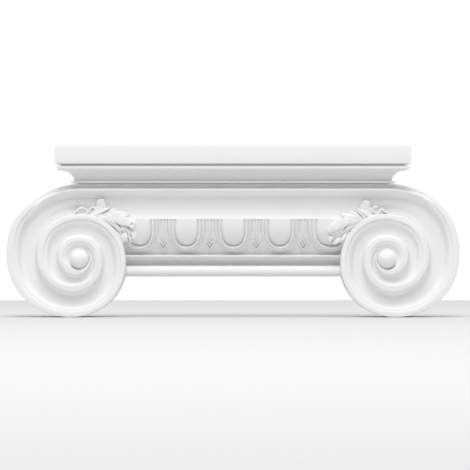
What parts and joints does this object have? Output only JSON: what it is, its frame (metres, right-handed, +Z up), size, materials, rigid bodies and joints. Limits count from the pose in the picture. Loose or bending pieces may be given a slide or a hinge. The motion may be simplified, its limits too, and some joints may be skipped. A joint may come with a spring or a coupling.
{
  "type": "ionic pilaster capital",
  "caption": "Flat-backed ionic capital: moulded abacus over two spiral volutes, an egg-and-dart echinus, acanthus leaves and an astragal; crowns a pilaster shaft.",
  "frame": {"origin": "middle of the width and of the depth, at the lowest points of the two volutes", "axes": "+Z up, +X to the right as seen from the front, the carved front faces -Y and the flat back faces +Y"},
  "size_m": [0.4527, 0.06, 0.1718],
  "materials": {
    "white_primer": "smooth moulded surface in satin-matt white primer"
  },
  "bodies": {
    "root": {"ionic_capital": "white_primer"}
  },
  "joints": []
}
